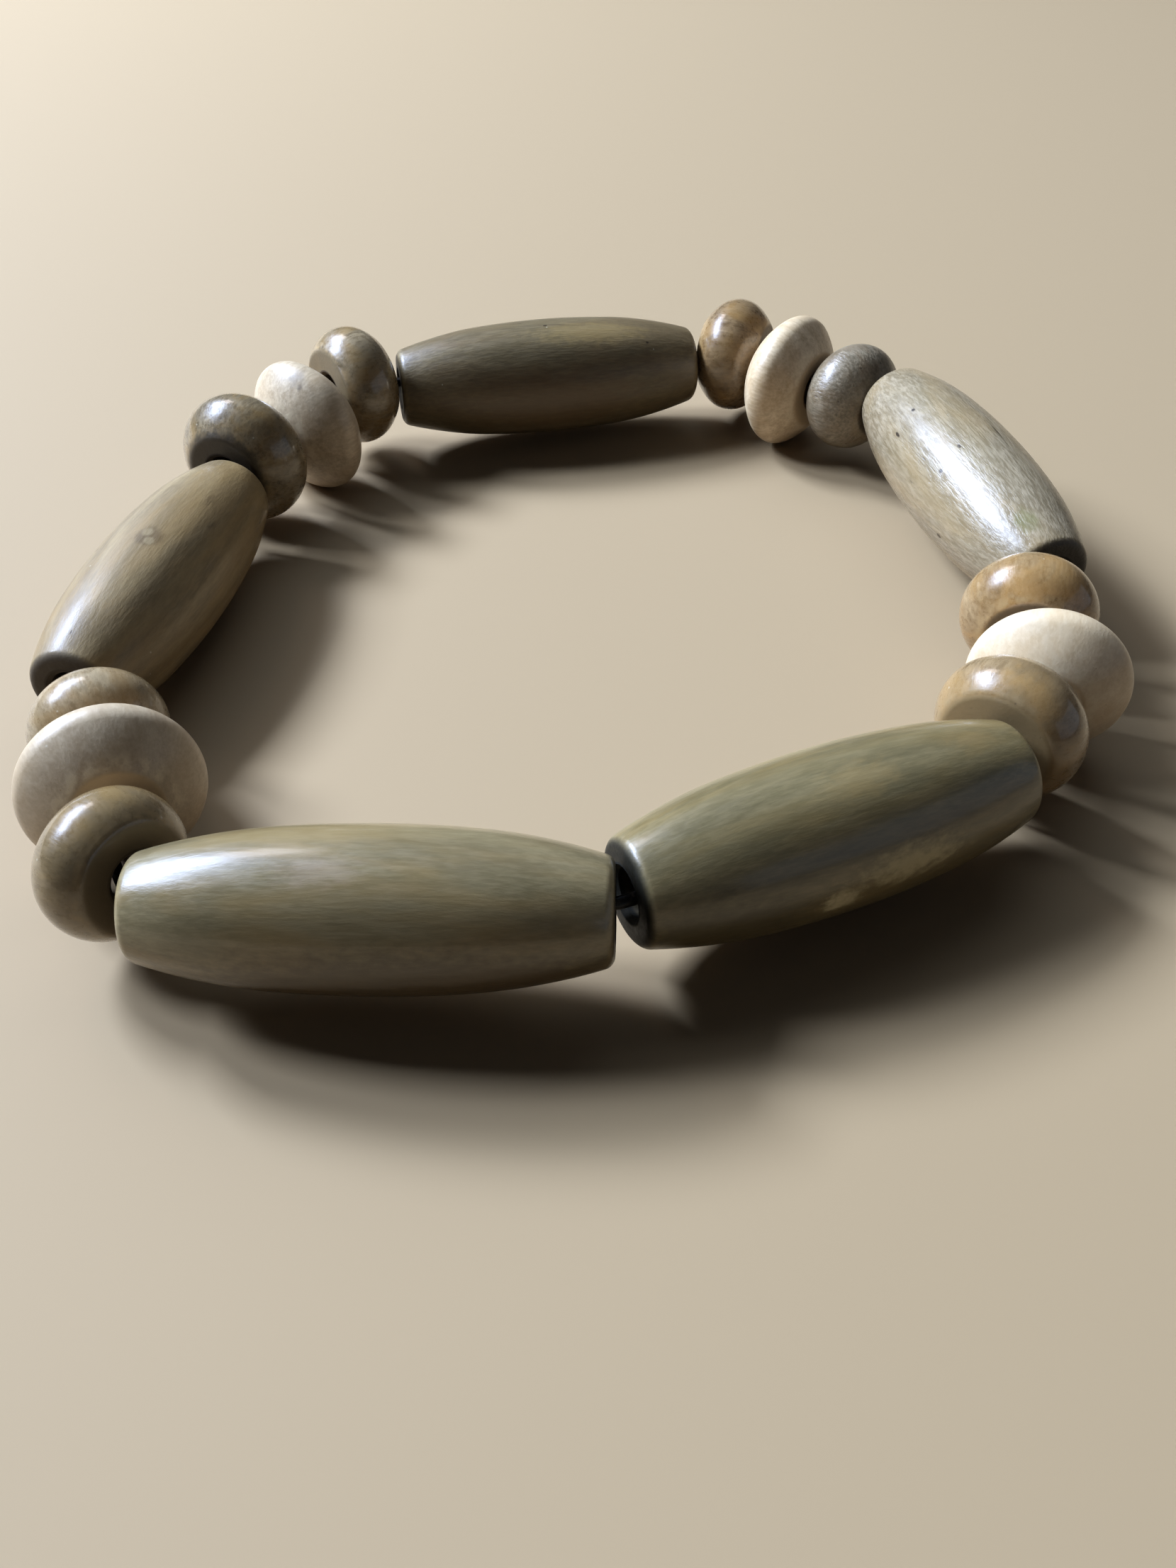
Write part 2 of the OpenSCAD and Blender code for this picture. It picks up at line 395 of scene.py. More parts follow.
# %% [markdown]
# Pores. Dark dashes up to a millimetre long, the cut ends of the vessels. A cell pattern drawn out along
# the grain gives one dot for each cell, and the cell's own chance number decides which cells keep theirs.
# Specks of dust are made the same way, as round, rare, light dots that dried into the varnish. They are
# painted near white, as glints: a painted highlight.

# %% Pore group
def scattered_dots(group, place, size, core, chance_channel, share):
    """One dot in a share of the cells. It fades from its core, where it is full, to its size."""
    cells = node(group, "TexVoronoi", {"Vector": place, "Scale": 1.0}).outputs
    dot = between(group, cells["Distance"], size, core)
    chance = node(group, "SeparateColor", {0: cells["Color"]}).outputs[chance_channel]
    return maths(group, "MULTIPLY", dot, maths(group, "LESS_THAN", chance, share))


def make_pores():
    group, ins, outs = new_group("pores", [HERE, SEED, ("Size", 0.2), ("Share", 0.5)], ["Pores", "Speck Glints"])
    dashes = stretched(group, ins["Place"], 0.42, 1.9, ins["Seed"])
    pores = scattered_dots(group, dashes, ins["Size"], core=0.0, chance_channel=0, share=ins["Share"])
    specks = stretched(group, ins["Place"], 1.3, 1.3, ins["Seed"])
    # specks of dust, painted near white as glints: a painted highlight
    dust = scattered_dots(group, specks, size=0.12, core=0.05, chance_channel=1, share=0.05)
    group.links.new(pores, outs["Pores"])
    group.links.new(dust, outs["Speck Glints"])
    return group


PORES = make_pores()
print("pore group:", len(PORES.nodes), "nodes")

# %% [markdown]
# Stain gathers in soft clouds, and the wood has warmer patches of its own. A small mottle breaks both up.
# `Run` says how far all three are drawn out along the bead: the smaller it is, the longer they are.

# %% Stain group
ELSEWHERE = (17.0, 5.0, 9.0)  # the warm patches read the noise here, so they don't match the clouds


def make_clouds():
    group, ins, outs = new_group("stain clouds", [HERE, SEED, ("Size", 3.0), ("Run", 0.7)],
                                 ["Clouds", "Warmth", "Mottle"])
    drawn = node(group, "CombineXYZ", {0: ins["Run"], 1: 1.0, 2: 1.0}).outputs[0]
    place = vector_maths(group, "MULTIPLY", ins["Place"], drawn)[0]
    moved = stretched(group, place, 1.0, 1.0, ins["Seed"])
    place = vector_maths(group, "MULTIPLY", moved, maths(group, "DIVIDE", 1.0, ins["Size"]))[0]
    wide = noise(group, place, detail=3.0, roughness=0.55, distortion=0.4)
    group.links.new(between(group, wide, 0.36, 0.64), outs["Clouds"])
    apart = vector_maths(group, "ADD", place, ELSEWHERE)[0]
    warm = noise(group, apart, scale=0.9, detail=3.0, roughness=0.6, distortion=0.6)
    group.links.new(between(group, warm, 0.38, 0.68), outs["Warmth"])
    small = noise(group, place, scale=5.5, detail=4.0, roughness=0.65)
    group.links.new(between(group, small, 0.35, 0.65), outs["Mottle"])
    return group


CLOUDS = make_clouds()
print("stain group:", len(CLOUDS.nodes), "nodes")

# %% [markdown]
# Ends and rims. The flat ends are cut across the fibres and drink the stain, so they have a colour of
# their own. The rims between the flats and the sides rub on the next bead and lose some colour. The drilled
# hole is left raw, without varnish, and its colour is painted dark, as shade. All three are found from the
# place on the bead: how far from the end, and how far from the bore.

# %% End and rim group
END_REACH = (0.12, 0.0)       # from the end: where its colour starts and where it is full, mm
RIM_REACH = (0.75, 0.25)      # from the end: the same for the rubbed rim
FLAT_BEGINS = (0.02, 0.2)     # from the end: the flat isn't rubbed, the rim past it is
# The hole's raw wood is painted dark as shade over this same reach.
RAW_WOOD_AND_SHADE = (0.5, 0.35)        # from the wall of the hole: where raw wood starts and where it is full


def make_ends():
    group, ins, outs = new_group("ends and rims", [HERE, SEED, ("Half Length", 14.0)], ["End", "Rim", "Bore"])
    split = node(group, "SeparateXYZ", {0: ins["Place"]}).outputs
    left = maths(group, "SUBTRACT", ins["Half Length"], maths(group, "ABSOLUTE", split[0]))
    ragged = noise(group, stretched(group, ins["Place"], 1.5, 1.5, ins["Seed"]), detail=4.0)
    group.links.new(between(group, left, *END_REACH), outs["End"])
    rubbed = maths(group, "MULTIPLY", between(group, left, *RIM_REACH), between(group, left, *FLAT_BEGINS))
    group.links.new(maths(group, "MULTIPLY", rubbed, between(group, ragged, 0.38, 0.62)), outs["Rim"])
    from_wall = maths(group, "SUBTRACT", distance(group, split[1], split[2]), HOLE)
    group.links.new(between(group, from_wall, *RAW_WOOD_AND_SHADE), outs["Bore"])
    return group


ENDS = make_ends()
print("end group:", len(ENDS.nodes), "nodes")

# %% [markdown]
# Marks are single things at one place, such as a knot, a rubbed patch or a speck: an egg-shaped spot
# with a ragged edge. The more ragged it is, the further in its full colour starts.

# %% Mark group
def make_mark():
    settings = [HERE, SEED, ("Middle", (0.0, 0.0, 5.0)), ("Long", 1.0), ("Wide", 0.5), ("Ragged", 0.3)]
    group, ins, outs = new_group("mark", settings, ["Mark"])
    offset = vector_maths(group, "SUBTRACT", ins["Place"], ins["Middle"])[0]
    size = node(group, "CombineXYZ", {0: ins["Long"], 1: ins["Wide"], 2: ins["Wide"]}).outputs[0]
    far = vector_maths(group, "LENGTH", vector_maths(group, "DIVIDE", offset, size)[0])["Value"]
    rough = noise(group, stretched(group, ins["Place"], 1.2, 2.0, ins["Seed"]), detail=4.0, roughness=0.6)
    wander = maths(group, "MULTIPLY", ins["Ragged"], 4.0)
    worn = maths(group, "MULTIPLY_ADD", maths(group, "SUBTRACT", rough, 0.5), wander, far)
    full = maths(group, "MULTIPLY_ADD", ins["Ragged"], -1.5, 0.7)
    group.links.new(between(group, worn, 1.0, full), outs["Mark"])
    return group


MARK = make_mark()
print("node groups:", [g.name for g in bpy.data.node_groups])

# %% [markdown]
# One recipe for all the woods
#
# Every bead is the same kind of thing: wood, then stain, then varnish. So one recipe makes all of their
# materials, and each bead gets values of its own, its look. The shares in a look go from 0 to 1: `clouds`
# and `warmth` say how much stain covers the wood, `fibres`, `rings` and `mottle` how much each counts in
# the mix of the light and the dark wood colour, and `pores` how many there are.

# %% Colours and the masks of one bead
def rgb(red, green, blue):
    """A colour as paint mixers give it, 0 to 255, turned into light."""
    parts = [c / 255 for c in (red, green, blue)]
    return tuple(c / 12.92 if c <= 0.04 else ((c + 0.055) / 1.055) ** 2.4 for c in parts) + (1,)


# The dust share and the speck colour below paint specks in the varnish near white, as glints: a painted
# highlight.
PLAIN_LOOK = dict(warmth=0.4, cloud_run=0.7, pore_size=0.2, dust=0.4, marks=())
SPECK_GLINT = rgb(226, 222, 210)


def placed_group(tree, group, place, seed, **values):
    """One of the shared groups in a material, with this bead's values; ring_width sets Ring Width."""
    values = {name.replace("_", " ").title(): value for name, value in values.items()}
    return node(tree, "Group", dict({"Place": place, "Seed": seed}, **values), node_tree=group).outputs


def bead_masks(tree, place, half_length, look):
    seed = look["seed"]
    grain = placed_group(tree, GRAIN, place, seed, ring_width=look["ring_width"], heart_y=look["heart"][0],
                         heart_z=look["heart"][1])
    pits = placed_group(tree, PORES, place, seed, size=look["pore_size"], share=look["pores"])
    stain = placed_group(tree, CLOUDS, place, seed + 3, size=look["cloud_size"], run=look["cloud_run"])
    edges = placed_group(tree, ENDS, place, seed, half_length=half_length)
    return {out.name: out for group in (grain, pits, stain, edges) for out in group}


print("dust colour:", [round(c, 2) for c in SPECK_GLINT[:3]])

# %% [markdown]
# Colour is built from the bottom up: two wood colours mixed by fibres, rings and mottle, stain in clouds,
# warmer patches, dark pores, specks of dust painted near white as glints, the rims and the ends, and last
# the hole, painted dark as shade. The marks come after that; some are the wood's own, some painted shade
# or painted light. Each says where its middle is on the bead, its half length and half width, how ragged
# and how strong it is, its colour, and whether varnish covers it.

# %% Colour of the wood and its marks
BARE, VARNISHED = False, True


def share(tree, mask, amount):
    return maths(tree, "MULTIPLY", mask, amount)


def wood_colour(tree, masks, look):
    fibres, rings, mottle = look["fibres"], look["rings"], look["mottle"]
    streak = maths(tree, "ADD", share(tree, masks["Fibres"], fibres), share(tree, masks["Rings"], rings))
    streak = maths(tree, "ADD", streak, share(tree, masks["Mottle"], mottle))
    streak = maths(tree, "DIVIDE", streak, fibres + rings + mottle)
    gathered = maths(tree, "MULTIPLY_ADD", masks["Clouds"], 0.6, share(tree, masks["Bands"], 0.4))
    colour = colour_mix(tree, streak, look["dark"], look["light"])
    # each layer: its mask, how much it covers at most, its colour
    layers = [(gathered, look["clouds"], look["cloud"]),
              (masks["Warmth"], look["warmth"], look["warm"]),
              (masks["Pores"], 0.8, look["pore"]),
              # specks of dust, painted near white as glints: a painted highlight
              (masks["Speck Glints"], look["dust"], SPECK_GLINT),
              (masks["Rim"], 0.55, look["rim"]),
              (masks["End"], 0.75, look["end"]),
              # the hole, painted dark in the pore colour as shade
              (masks["Bore"], 0.8, look["pore"])]
    for mask, amount, over in layers:
        colour = colour_mix(tree, share(tree, mask, amount), colour, over)
    return colour


def add_marks(tree, place, colour, bare, look):
    for middle, (long, wide), ragged, strength, shade, takes_varnish in look["marks"]:
        spot = placed_group(tree, MARK, place, look["seed"] + middle[0], middle=middle, long=long, wide=wide,
                            ragged=ragged)["Mark"]
        spot = share(tree, spot, strength)
        colour = colour_mix(tree, spot, colour, shade)
        if not takes_varnish:
            bare = maths(tree, "MAXIMUM", bare, spot)
    return colour, bare


print("colour layers: wood, stain, warmth, pores, dust, rims, ends, hole, marks")

# %% [markdown]
# The varnish is a coat over the wood. Where the wood is bare, in the hole, on the flat ends and where the
# rims are rubbed, the coat's weight goes down and the wood below is rougher. The bump comes from fibres,
# mottle and pores, between 0.003 and 0.016 mm deep.

# %% Varnish, surface and the whole recipe
VARNISH_BENDS_LIGHT = 1.5


def bare_wood(tree, masks):
    bare = maths(tree, "MAXIMUM", masks["Bore"], share(tree, masks["Rim"], 0.4))
    return maths(tree, "MAXIMUM", bare, share(tree, masks["End"], 0.8))


def roughness(tree, masks, bare, rough):
    dull = maths(tree, "MULTIPLY_ADD", maths(tree, "SUBTRACT", masks["Mottle"], 0.5), 0.12, rough)
    for mask, amount in ((bare, 0.25), (masks["Pores"], 0.2), (masks["Bore"], 0.35)):
        dull = maths(tree, "MULTIPLY_ADD", mask, amount, dull)
    return dull


def varnish_weight(tree, masks, bare, varnish):
    coat = share(tree, maths(tree, "SUBTRACT", 1.0, bare), varnish)
    return maths(tree, "MULTIPLY", coat, maths(tree, "MULTIPLY_ADD", masks["Mottle"], 0.3, 0.7))


def surface(tree, masks, relief):
    fibres = maths(tree, "MULTIPLY_ADD", masks["Mottle"], 0.5, masks["Fibres"])
    height = maths(tree, "MULTIPLY_ADD", masks["Pores"], -1.5, fibres)
    return node(tree, "Bump", {"Height": height, "Distance": relief * MM, "Strength": 1.0}).outputs["Normal"]


def wood(name, half_length, look):
    made = bpy.data.materials.new(name)
    made.use_nodes = True
    tree = made.node_tree
    skin = tree.nodes["Principled BSDF"].inputs
    place = node(tree, "Attribute", attribute_name="bead_place").outputs["Vector"]
    masks = bead_masks(tree, place, half_length, look)
    colour, bare = add_marks(tree, place, wood_colour(tree, masks, look), bare_wood(tree, masks), look)
    tree.links.new(colour, skin["Base Color"])
    tree.links.new(roughness(tree, masks, bare, look["rough"]), skin["Roughness"])
    tree.links.new(varnish_weight(tree, masks, bare, look["varnish"]), skin["Coat Weight"])
    tree.links.new(surface(tree, masks, look["relief"]), skin["Normal"])
    skin["Coat Roughness"].default_value = look["varnish_rough"]
    skin["Coat IOR"].default_value = VARNISH_BENDS_LIGHT
    return made


def finish(bead_name, slot, **own):
    made = wood(bead_name + " finish", half_lengths[bead_name], dict(PLAIN_LOOK, **own))
    beads[bead_name].data.materials.clear()
    beads[bead_name].data.materials.append(made)
    print(made.name, "has", len(made.node_tree.nodes), "nodes")

# %% [markdown]
# The long olive beads
#
# All five took the same olive stain, but each stick took it its own way: one is warm khaki, one greener,
# one bleached, one dark, one with a knot. The varnish is thin and half gloss, so the window shows as a soft
# patch. The first two are nearest, the right one of them with a rubbed pale patch on its side. Both are
# painted darker along their low near sides, as shade, and the left one has a pinkish-grey painted
# reflection on its top. The right one's end in the gap between them is painted nearly black, as shade.

# %% The two front olive beads
OLIVE = dict(end=rgb(58, 50, 36), rim=rgb(150, 136, 106), pore=rgb(46, 38, 28), cloud_size=3.2,
             cloud_run=0.22)
PORE = rgb(48, 38, 28)
finish("long_bead_1", "olive_wood", seed=4.0,
       light=rgb(150, 138, 110), dark=rgb(114, 104, 80), cloud=rgb(98, 88, 68), warm=rgb(152, 128, 88),
       clouds=0.55, warmth=0.4, fibres=0.2, rings=0.25, mottle=0.15, ring_width=2.2, heart=(6.0, -7.0),
       pores=0.0, dust=0.0, rough=0.34, varnish=0.8, varnish_rough=0.14, relief=0.004,
       # Painted shade along the low near side, then a pinkish-grey painted reflection on the top.
       marks=[((2.5, -4.8, -1.9), (18.0, 4.4), 0.15, 0.75, rgb(74, 58, 41), VARNISHED),
              ((-2.3, -1.5, 4.6), (3.2, 1.3), 0.3, 0.35, rgb(160, 142, 126), VARNISHED)], **OLIVE)
finish("long_bead_2", "olive_wood", seed=11.0,
       light=rgb(150, 136, 104), dark=rgb(110, 101, 76), cloud=rgb(92, 85, 65), warm=rgb(140, 116, 70),
       clouds=0.6, warmth=0.35, fibres=0.2, rings=0.25, mottle=0.2, ring_width=2.4, heart=(-8.0, 5.0),
       pores=0.0, dust=0.0, rough=0.36, varnish=0.7, varnish_rough=0.16, relief=0.004,
       marks=[((0.8, -1.3, 5.0), (3.6, 1.9), 0.35, 0.38, rgb(148, 127, 88), VARNISHED),
              ((9.3, -0.5, 4.4), (2.6, 1.4), 0.35, 0.4, rgb(146, 124, 86), VARNISHED),
              # Painted shade along the low near side, then the end in the gap painted nearly black as shade.
              ((-9.5, -4.4, -0.7), (8.0, 2.6), 0.2, 0.6, rgb(78, 68, 48), VARNISHED),
              ((-13.6, 0.0, 0.0), (0.8, 4.2), 0.0, 0.9, rgb(30, 29, 23), BARE),
              ((2.6, -4.9, 0.7), (5.0, 1.7), 0.4, 0.8, rgb(196, 182, 146), BARE),
              ((-2.1, -5.0, -0.6), (1.7, 1.2), 0.4, 0.85, rgb(206, 192, 158), BARE)], **OLIVE)

# %% [markdown]
# The third is bleached and grainy, with a few single pores that were dark enough to place one by one. Its
# end next to a round bead and a band on its side away from the window are painted darker, as shade. The
# fourth, at the back, is the darkest; a golden streak along its top is painted light, and a brown patch low
# on its near side is painted shade. The fifth, on the left, has a small knot: a dark ring round two pale
# hearts, with two dark dashes further along.

# %% The other three olive beads
KNOT_RING, KNOT_HEART = rgb(88, 70, 48), rgb(144, 128, 100)
finish("long_bead_3", "olive_wood", seed=17.0,
       light=rgb(173, 160, 142), dark=rgb(126, 113, 94), cloud=rgb(132, 122, 100), warm=rgb(160, 138, 104),
       clouds=0.35, warmth=0.55, fibres=0.7, rings=0.15, mottle=0.15, ring_width=1.5, heart=(7.0, 8.0),
       pores=0.04, rough=0.27, varnish=0.65, varnish_rough=0.3, relief=0.016,
       # The end next to the round bead, painted dark as shade.
       marks=[((-13.85, 0.0, 0.0), (0.8, 4.2), 0.0, 0.8, rgb(40, 34, 26), BARE),
              ((5.55, 2.79, 3.88), (0.25, 0.2), 0.1, 0.9, PORE, VARNISHED),
              ((4.73, 4.27, 2.28), (0.5, 0.16), 0.1, 0.9, PORE, VARNISHED),
              ((-1.51, 2.25, 4.44), (0.3, 0.14), 0.1, 0.9, PORE, VARNISHED),
              ((-2.37, 3.95, 3.0), (0.28, 0.2), 0.1, 0.8, PORE, VARNISHED),
              ((-5.22, 4.68, -1.07), (0.4, 0.2), 0.1, 0.9, PORE, VARNISHED),
              ((-1.1, -1.3, 4.85), (1.7, 0.12), 0.2, 0.7, PORE, VARNISHED),
              ((-11.3, 1.4, 3.6), (1.8, 1.2), 0.4, 0.5, rgb(124, 124, 84), VARNISHED),
              # A band on the side away from the window, painted darker as shade.
              ((5.0, -4.2, 2.2), (9.0, 2.6), 0.3, 0.5, rgb(110, 95, 68), VARNISHED)], **OLIVE)
finish("long_bead_4", "olive_wood", seed=23.0,
       light=rgb(128, 114, 88), dark=rgb(95, 84, 65), cloud=rgb(92, 82, 63), warm=rgb(114, 93, 67),
       clouds=0.4, warmth=0.35, fibres=0.25, rings=0.15, mottle=0.15, ring_width=1.8, heart=(8.0, 6.0),
       pores=0.02, rough=0.42, varnish=0.4, varnish_rough=0.3, relief=0.008,
       # A golden streak along the top, painted light.
       marks=[((-3.6, 1.6, 4.6), (7.5, 2.0), 0.3, 0.5, rgb(152, 132, 92), VARNISHED),
              # A brown patch low on the near side, painted shade.
              ((0.5, 4.4, -0.5), (11.0, 4.2), 0.25, 0.6, rgb(102, 81, 58), VARNISHED),
              ((0.27, 0.43, 5.08), (0.25, 0.18), 0.1, 0.8, PORE, VARNISHED),
              ((-8.9, 2.6, 3.7), (0.2, 0.14), 0.1, 0.9, PORE, VARNISHED)], **OLIVE)
finish("long_bead_5", "olive_wood", seed=31.0,
       light=rgb(155, 137, 106), dark=rgb(114, 98, 72), cloud=rgb(108, 93, 70), warm=rgb(158, 132, 92),
       clouds=0.45, warmth=0.5, fibres=0.3, rings=0.45, mottle=0.15, ring_width=1.6, heart=(1.0, 13.0),
       pores=0.03, rough=0.52, varnish=0.35, varnish_rough=0.17, relief=0.006,
       marks=[((14.0, 0.0, 0.0), (0.8, 4.2), 0.0, 0.85, rgb(84, 75, 65), BARE),
              ((1.25, 0.8, 4.9), (1.5, 1.3), 0.15, 0.5, KNOT_RING, VARNISHED),
              ((0.75, 0.5, 4.95), (0.7, 0.55), 0.15, 0.8, KNOT_HEART, VARNISHED),
              ((1.75, 1.0, 4.85), (0.6, 0.5), 0.15, 0.8, KNOT_HEART, VARNISHED),
              ((-3.4, 3.45, 3.5), (1.4, 0.45), 0.4, 0.45, KNOT_RING, VARNISHED),
              ((-5.7, 2.3, 4.15), (1.6, 0.4), 0.4, 0.4, KNOT_RING, VARNISHED)], **OLIVE)

# %% [markdown]
# The short honey beads
#
# These are small, and dipped in clear gloss. Under it the wood is mottled: tan, brown and patches of amber.
# The gloss shows the window small and sharp. Two of them have a face painted darker as shade: one where a
# long bead's end casts its shadow on it, one on the side that faces the front long bead.

# %% Honey beads
HONEY = dict(rim=rgb(176, 152, 116), pore=rgb(64, 48, 34), fibres=0.35, rings=0.12, mottle=0.25,
             ring_width=1.6, pores=0.04, rough=0.3, varnish=1.0, varnish_rough=0.09, relief=0.003,
             cloud_size=2.8, clouds=0.6, warmth=0.6)
DARK_END = rgb(70, 57, 41)
finish("round_bead_1", "honey_wood", seed=41.0, light=rgb(160, 138, 109), dark=rgb(122, 103, 78),
       cloud=rgb(126, 106, 78), warm=rgb(168, 136, 92), end=rgb(158, 137, 105), heart=(6.0, 6.0),
       **dict(HONEY, rim=rgb(150, 130, 100)))
finish("round_bead_2", "honey_wood", seed=43.0, light=rgb(174, 150, 117), dark=rgb(128, 105, 76),
       cloud=rgb(134, 106, 72), warm=rgb(178, 140, 90), end=DARK_END, heart=(5.0, -6.0), **HONEY)
finish("round_bead_4", "honey_wood", seed=47.0, light=rgb(170, 146, 115), dark=rgb(108, 88, 65),
       cloud=rgb(92, 73, 52), warm=rgb(158, 126, 82), end=DARK_END, heart=(-5.0, 6.0), **HONEY)
finish("round_bead_5", "honey_wood", seed=53.0, light=rgb(168, 152, 128), dark=rgb(114, 100, 80),
       cloud=rgb(100, 88, 70), warm=rgb(152, 124, 80), end=rgb(112, 98, 76), heart=(7.0, 4.0), **HONEY)
finish("round_bead_6", "honey_wood", seed=59.0, light=rgb(164, 148, 122), dark=rgb(106, 94, 76),
       cloud=rgb(96, 84, 68), warm=rgb(146, 118, 74), end=DARK_END, heart=(6.0, -5.0),
       # The end against the long bead, painted dark as its cast shadow.
       marks=[((3.2, 0.0, 0.0), (1.0, 5.2), 0.05, 0.8, rgb(46, 38, 28), BARE)], **HONEY)
finish("round_bead_7", "honey_wood", seed=61.0, light=rgb(180, 162, 136), dark=rgb(132, 116, 94),
       cloud=rgb(116, 102, 80), warm=rgb(160, 132, 94), end=DARK_END, heart=(-6.0, 5.0), **HONEY)
finish("round_bead_8", "honey_wood", seed=67.0, light=rgb(146, 127, 99), dark=rgb(105, 90, 68),
       cloud=rgb(112, 97, 74), warm=rgb(144, 120, 82), end=rgb(132, 118, 95), heart=(5.0, 7.0),
       # The face towards the front long bead, painted darker as shade.
       marks=[((2.4, 0.0, 0.0), (3.4, 6.0), 0.15, 0.6, rgb(124, 110, 88), VARNISHED)], **HONEY)

# %% [markdown]
# One of the eight, between a long bead and a disc at the back right, is grey-brown and frosted: more fibre
# and pores, and a rougher coat.

# %% The grey-brown bead
finish("round_bead_3", "grey_brown_wood", seed=71.0, light=rgb(164, 152, 136), dark=rgb(108, 99, 85),
       cloud=rgb(108, 97, 81), warm=rgb(106, 82, 54), pore=rgb(56, 46, 34), end=rgb(66, 54, 40),
       rim=rgb(150, 136, 114), clouds=0.4, cloud_size=1.4, fibres=0.6, rings=0.2, mottle=0.5, ring_width=1.6,
       heart=(6.0, 6.0), pores=0.25, rough=0.34, varnish=0.5, varnish_rough=0.25, relief=0.016)

# %% [markdown]
# The pale discs
#
# The discs have no stain and only a thin, dull coat: smooth, creamy, a little pink, with faint fibres.
# The one at the back left carries a small dark speck in a grey smudge.

# %% Pale discs
PALE = dict(end=rgb(200, 178, 148), rim=rgb(226, 212, 188), pore=rgb(160, 130, 100), fibres=0.5, rings=0.3,
            mottle=0.4, ring_width=1.7, pores=0.3, pore_size=0.12, rough=0.45, varnish=0.45,
            varnish_rough=0.3, relief=0.004, cloud_size=3.0, clouds=0.3, warmth=0.25)
finish("disc_bead_1", "pale_wood", seed=83.0, light=rgb(226, 210, 188), dark=rgb(204, 184, 158),
       cloud=rgb(194, 174, 150), warm=rgb(210, 180, 140), heart=(6.0, 9.0), **PALE)
finish("disc_bead_2", "pale_wood", seed=89.0, light=rgb(232, 215, 192), dark=rgb(188, 166, 138),
       cloud=rgb(174, 152, 126), warm=rgb(200, 164, 120), heart=(8.0, 4.0), **PALE)
finish("disc_bead_3", "pale_wood", seed=97.0, light=rgb(216, 200, 178), dark=rgb(176, 158, 136),
       cloud=rgb(162, 145, 125), warm=rgb(196, 170, 140), heart=(9.0, 2.0),
       marks=[((1.38, 1.75, 4.87), (0.5, 0.4), 0.5, 0.7, rgb(110, 94, 82), VARNISHED),
              ((0.9, 1.0, 5.5), (1.3, 1.1), 0.4, 0.45, rgb(146, 134, 126), VARNISHED)], **PALE)
finish("disc_bead_4", "pale_wood", seed=101.0, light=rgb(200, 184, 163), dark=rgb(174, 156, 135),
       cloud=rgb(164, 147, 128), warm=rgb(176, 150, 118), heart=(-8.0, 5.0), **PALE)
print("wood finishes:", len([m for m in bpy.data.materials if m.name.endswith("finish")]))

# %% [markdown]
# The rubber of the thread
#
# Stretch cord is a dark rubber strand, a little dusty. Fine noise over its length keeps it from looking
# like a drawn line.

# %% Thread finish
RUBBER, RUBBER_DUST = rgb(26, 22, 20), rgb(74, 66, 58)
SPECKS_PER_METRE = 4000.0


def make_rubber():
    made = bpy.data.materials.new("dark elastic")
    made.use_nodes = True
    tree = made.node_tree
    skin = tree.nodes["Principled BSDF"].inputs
    place = node(tree, "TexCoord").outputs["Object"]
    specks = noise(tree, place, scale=SPECKS_PER_METRE, detail=3.0)
    dust = between(tree, specks, 0.45, 0.7)
    tree.links.new(colour_mix(tree, dust, RUBBER, RUBBER_DUST), skin["Base Color"])
    tree.links.new(maths(tree, "MULTIPLY_ADD", dust, 0.3, 0.4), skin["Roughness"])
    bump = node(tree, "Bump", {"Height": specks, "Distance": 0.01 * MM, "Strength": 0.6})
    tree.links.new(bump.outputs["Normal"], skin["Normal"])
    return made


thread.data.materials.append(make_rubber())
print("thread finish:", thread.data.materials[0].name)

# %% [markdown]
# Floor, window and fill
#
# The floor is plain, pale and warm, so the undersides of the beads get a warm bounce. The main light is a
# window of two panes, to the left and a little behind, low enough that the shadows fall to the right and
# towards the camera. A bright wall at the back softens their edges, a curtain beside the window gives gloss
# a dim warm edge, and a faint blue door at the front right is mirrored in the dark sides of the beads.
#
# Varnish mirrors the blue sky in the panes, while the light that they shed is nearly white. So each pane is
# placed twice: once to light the wood, hidden from mirror rays, and once, bluer, to be mirrored alone.

# %% Floor
FLOOR_SIZE, FLOOR_ROUGHNESS = 3.0, 0.75
deselect()
bpy.ops.mesh.primitive_plane_add(size=FLOOR_SIZE, location=(0, 0, 0))
floor = bpy.context.object
floor.name = "floor"
floor_paint = bpy.data.materials.new("pale floor")
floor_paint.use_nodes = True
floor_skin = floor_paint.node_tree.nodes["Principled BSDF"].inputs
floor_skin["Base Color"].default_value = rgb(162, 143, 118)
floor_skin["Roughness"].default_value = FLOOR_ROUGHNESS
floor.data.materials.append(floor_paint)
print("floor:", FLOOR_SIZE, "m wide")


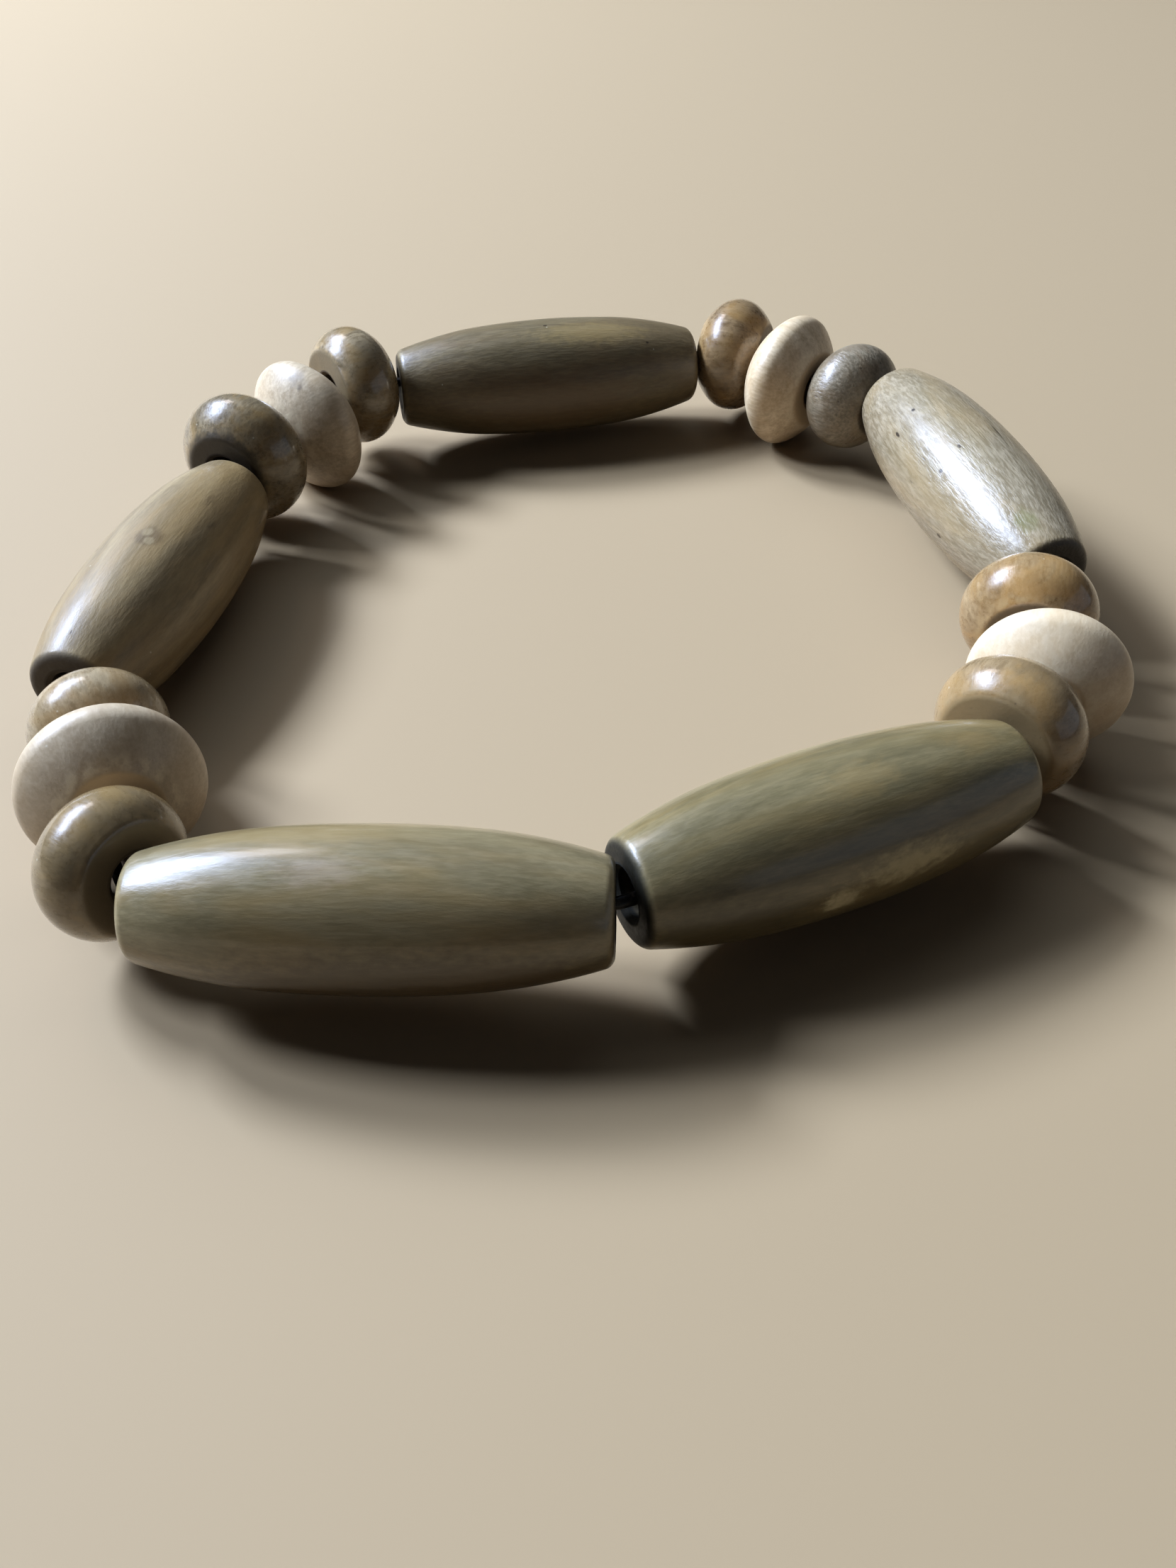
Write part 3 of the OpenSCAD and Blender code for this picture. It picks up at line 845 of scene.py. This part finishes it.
# %% Lights
def soft_light(name, azimuth, elevation, away, size, watts, colour, lights=True, mirrored=True):
    """A bright rectangle that faces the bracelet; azimuth 0 is right, 90 behind. It may only light,
    or only be mirrored."""
    azimuth, elevation = math.radians(azimuth), math.radians(elevation)
    level = math.cos(elevation)
    way = Vector((math.cos(azimuth) * level, math.sin(azimuth) * level, math.sin(elevation)))
    bpy.ops.object.light_add(type="AREA", location=way * away)
    light = bpy.context.object
    light.name = name
    light.rotation_euler = way.to_track_quat("Z", "Y").to_euler()
    light.data.shape, light.data.size, light.data.size_y = "RECTANGLE", *size
    light.data.energy, light.data.color = watts, colour
    light.visible_diffuse, light.visible_glossy = lights, mirrored


WINDOW_ELEVATION, WINDOW_DISTANCE = 39, 0.9
DAYLIGHT, BLUE_SKY = (0.74, 0.86, 1.0), (0.60, 0.72, 1.0)
PANES = [                     # name, azimuth, size, watts that light, watts that are mirrored
    ("left pane", 167, (0.19, 0.23), 8.1, 7.6),
    ("right pane", 143, (0.22, 0.20), 11.8, 11.0),
]
for name, azimuth, size, watts, _ in PANES:
    soft_light("daylight " + name, azimuth, WINDOW_ELEVATION, WINDOW_DISTANCE, size, watts,
               DAYLIGHT, mirrored=False)
for name, azimuth, size, _, watts in PANES:
    soft_light("window " + name, azimuth, WINDOW_ELEVATION, WINDOW_DISTANCE, size, watts,
               BLUE_SKY, lights=False)
soft_light("bright wall", 95, 52, 1.1, (1.3, 0.75), 4.2, (0.80, 0.90, 1.0), mirrored=False)
soft_light("curtain", 124, 44, 0.9, (0.16, 0.22), 0.5, (1.0, 0.90, 0.86))
soft_light("far door", -24, 15, 1.2, (1.6, 0.55), 1.0, (0.62, 0.78, 1.0), lights=False)

# %% [markdown]
# The room itself adds only a little light from all sides, enough that no shadow is black.

# %% Room light and picture contrast
ROOM_COLOUR, ROOM_STRENGTH = (0.90, 0.95, 1.0, 1), 0.06
room = bpy.context.scene.world or bpy.data.worlds.new("room")
bpy.context.scene.world = room
room.use_nodes = True
room.node_tree.nodes["Background"].inputs["Color"].default_value = ROOM_COLOUR
room.node_tree.nodes["Background"].inputs["Strength"].default_value = ROOM_STRENGTH
bpy.context.scene.view_settings.view_transform = "Standard"
bpy.context.scene.view_settings.look = "Medium High Contrast"
print("room light:", ROOM_STRENGTH)
